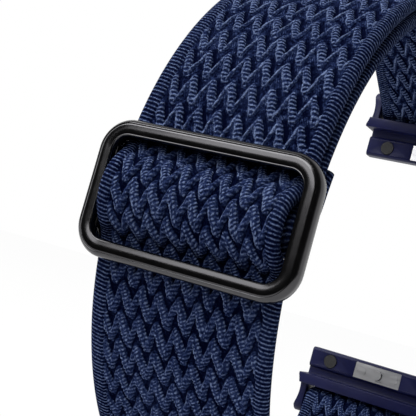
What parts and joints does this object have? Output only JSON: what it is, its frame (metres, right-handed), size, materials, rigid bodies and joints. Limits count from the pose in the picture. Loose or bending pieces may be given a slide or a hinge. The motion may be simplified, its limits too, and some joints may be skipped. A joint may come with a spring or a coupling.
{
  "type": "watch strap",
  "caption": "Woven elastic watch strap: webbing that doubles back through a slide buckle, with a sprung lug connector on a pin at each end.",
  "frame": {"origin": "middle of the watch case, half way between the two lugs that hold it", "axes": "+X across the strap, +Z from the lower lug to the upper lug, -Y from the case to the buckle"},
  "size_m": [0.0262, 0.0805, 0.084],
  "materials": {
    "webbing": "herringbone weave, navy",
    "thread": "sewing thread, navy",
    "buckle": "polished dark gun-metal plating",
    "connector": "satin, navy",
    "steel": "brushed",
    "rubber": "matt"
  },
  "bodies": {
    "webbing": {"inner_run": "webbing", "inner_run_front": "webbing", "upper_turn": "webbing", "outer_run": "webbing", "outer_run_front": "webbing", "lower_run_front": "webbing", "lower_run": "webbing", "lower_turn": "webbing", "lower_stitches": "thread"},
    "buckle": {"window_hump": "webbing", "bar_loop": "webbing", "bar_stitches": "thread", "buckle_frame": "buckle", "buckle_centre_bar": "buckle"},
    "upper_connector": {"upper_connector": "connector", "upper_pin": "steel", "upper_spring": "steel", "upper_retainer": "steel", "upper_screws": "steel", "upper_pads": "rubber"},
    "upper_button": {"upper_button": "steel"},
    "lower_connector": {"lower_connector": "connector", "lower_pin": "steel", "lower_spring": "steel", "lower_retainer": "steel", "lower_screws": "steel", "lower_pads": "rubber"},
    "lower_button": {"lower_button": "steel"}
  },
  "joints": [
    {"name": "buckle_slide", "type": "hinge", "parent": "webbing", "child": "buckle", "pos_m": [0, -0.0385, -0.0045], "axis": [-1, 0, 0], "range_deg": [-15, 15], "deforming": ["inner_run_front", "outer_run_front", "lower_run_front"]},
    {"name": "upper_swivel", "type": "hinge", "parent": "webbing", "child": "upper_connector", "pos_m": [0, 0, 0.02673], "axis": [1, 0, 0], "range_deg": [-30, 150]},
    {"name": "lower_swivel", "type": "hinge", "parent": "webbing", "child": "lower_connector", "pos_m": [0, 0, -0.02673], "axis": [-1, 0, 0], "range_deg": [-65, 100]},
    {"name": "upper_button_press", "type": "slide", "parent": "upper_connector", "child": "upper_button", "axis": [0, 1, 0], "range_m": [0, 0.0005], "stiffness_N_per_m": 300, "springref_m": -0.001, "deforming": ["upper_spring"]},
    {"name": "lower_button_press", "type": "slide", "parent": "lower_connector", "child": "lower_button", "axis": [0, 1, 0], "range_m": [0, 0.0005], "stiffness_N_per_m": 300, "springref_m": -0.001, "deforming": ["lower_spring"]}
  ]
}
